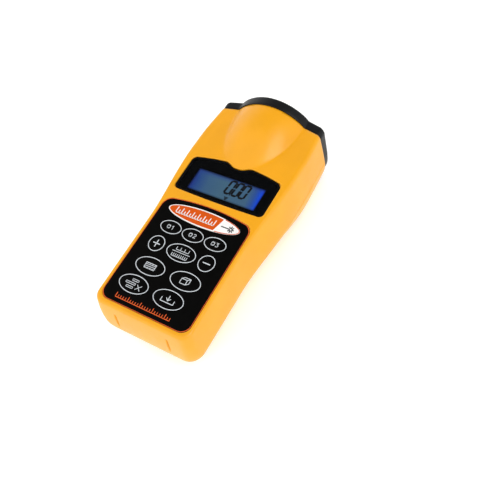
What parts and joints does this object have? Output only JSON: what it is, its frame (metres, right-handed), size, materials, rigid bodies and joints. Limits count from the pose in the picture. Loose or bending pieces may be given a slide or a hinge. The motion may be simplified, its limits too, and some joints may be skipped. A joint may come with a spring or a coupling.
{
  "type": "ultrasonic distance meter with laser pointer",
  "caption": "Handheld distance meter with a sound horn in a black nose, backlit display, film keypad with round and oval keys, and a sliding battery door in the back.",
  "frame": {"origin": "centre of the bounding box's underside, on the flat back", "axes": "+X to the user's right, +Y from the base end to the nose, +Z out of the display side"},
  "size_m": [0.066, 0.1381, 0.0473],
  "materials": {
    "battery_case": "lacquered",
    "black_mesh": "matt black etched screen",
    "black_plastic": "satin moulded ABS",
    "black_rubber": "matt",
    "board_green": "solder mask",
    "board_laminate": "pressed laminate",
    "brass": "turned",
    "can_aluminium": "bright turned",
    "capacitor_sleeve": "shrunk sleeve",
    "chip_black": "epoxy",
    "clear_window": "clear acrylic",
    "grey_foam": "open foam",
    "key_orange": "printed orange and white",
    "keypad_film": "satin polyester film",
    "lcd_glass": "backlit blue liquid crystal panel",
    "plated_steel": "bright plated",
    "printed_black": "black print behind the window",
    "red_window": "translucent red acrylic",
    "red_wire": "insulation",
    "shell_yellow": "fine satin moulded ABS",
    "white_plastic": "moulded",
    "white_wire": "insulation"
  },
  "bodies": {
    "casing": {"front_cover": "shell_yellow", "back_cover": "shell_yellow", "nose_cap": "black_plastic", "horn": "black_plastic", "laser_clamp": "black_plastic", "transducer_gasket": "black_rubber", "transducer_can": "can_aluminium", "transducer_mesh": "black_mesh", "transducer_cone": "can_aluminium", "transducer_base": "board_laminate", "laser_barrel": "brass", "laser_lens": "clear_window", "laser_window": "red_window", "display_window": "clear_window", "display_mask": "printed_black", "lcd_glass": "lcd_glass", "lcd_frame": "white_plastic", "lcd_backlight": "white_plastic", "contact_strips": "black_rubber", "keypad_overlay": "keypad_film", "keypad_spacer": "keypad_film", "keypad_circuit": "keypad_film", "contact_domes": "plated_steel", "main_board": "board_green", "controller_chip": "chip_black", "amplifier_chips": "chip_black", "pulse_transformer": "plated_steel", "crystal": "plated_steel", "filter_capacitors": "capacitor_sleeve", "buzzer": "chip_black", "tail_connector": "white_plastic", "board_screws": "plated_steel", "shell_screws": "plated_steel", "battery_foam": "grey_foam", "battery": "battery_case", "battery_terminals": "plated_steel", "battery_snap": "black_rubber", "battery_lead_red": "red_wire", "battery_lead_black": "black_rubber", "transducer_leads": "white_wire", "laser_leads": "red_wire"},
    "battery_door": {"battery_door": "shell_yellow"},
    "key_measure": {"key_measure": "key_orange"},
    "key_memory_one": {"key_memory_one": "keypad_film"},
    "key_memory_two": {"key_memory_two": "keypad_film"},
    "key_memory_three": {"key_memory_three": "keypad_film"},
    "key_plus": {"key_plus": "keypad_film"},
    "key_units": {"key_units": "keypad_film"},
    "key_minus": {"key_minus": "keypad_film"},
    "key_area": {"key_area": "keypad_film"},
    "key_volume": {"key_volume": "keypad_film"},
    "key_clear": {"key_clear": "keypad_film"},
    "key_store": {"key_store": "keypad_film"}
  },
  "joints": [
    {"name": "battery_door_slide", "type": "slide", "parent": "casing", "child": "battery_door", "axis": [0, -1, 0], "range_m": [0, 0.05]},
    {"name": "key_measure_press", "type": "slide", "parent": "casing", "child": "key_measure", "axis": [0, 0, -1], "range_m": [0, 0.0004], "stiffness_N_per_m": 1500, "springref_m": -0.0002},
    {"name": "key_memory_one_press", "type": "slide", "parent": "casing", "child": "key_memory_one", "axis": [0, 0, -1], "range_m": [0, 0.0004], "stiffness_N_per_m": 1500, "springref_m": -0.0002},
    {"name": "key_memory_two_press", "type": "slide", "parent": "casing", "child": "key_memory_two", "axis": [0, 0, -1], "range_m": [0, 0.0004], "stiffness_N_per_m": 1500, "springref_m": -0.0002},
    {"name": "key_memory_three_press", "type": "slide", "parent": "casing", "child": "key_memory_three", "axis": [0, 0, -1], "range_m": [0, 0.0004], "stiffness_N_per_m": 1500, "springref_m": -0.0002},
    {"name": "key_plus_press", "type": "slide", "parent": "casing", "child": "key_plus", "axis": [0, 0, -1], "range_m": [0, 0.0004], "stiffness_N_per_m": 1500, "springref_m": -0.0002},
    {"name": "key_units_press", "type": "slide", "parent": "casing", "child": "key_units", "axis": [0, 0, -1], "range_m": [0, 0.0004], "stiffness_N_per_m": 1500, "springref_m": -0.0002},
    {"name": "key_minus_press", "type": "slide", "parent": "casing", "child": "key_minus", "axis": [0, 0, -1], "range_m": [0, 0.0004], "stiffness_N_per_m": 1500, "springref_m": -0.0002},
    {"name": "key_area_press", "type": "slide", "parent": "casing", "child": "key_area", "axis": [0, 0, -1], "range_m": [0, 0.0004], "stiffness_N_per_m": 1500, "springref_m": -0.0002},
    {"name": "key_volume_press", "type": "slide", "parent": "casing", "child": "key_volume", "axis": [0, 0, -1], "range_m": [0, 0.0004], "stiffness_N_per_m": 1500, "springref_m": -0.0002},
    {"name": "key_clear_press", "type": "slide", "parent": "casing", "child": "key_clear", "axis": [0, 0, -1], "range_m": [0, 0.0004], "stiffness_N_per_m": 1500, "springref_m": -0.0002},
    {"name": "key_store_press", "type": "slide", "parent": "casing", "child": "key_store", "axis": [0, 0, -1], "range_m": [0, 0.0004], "stiffness_N_per_m": 1500, "springref_m": -0.0002}
  ]
}
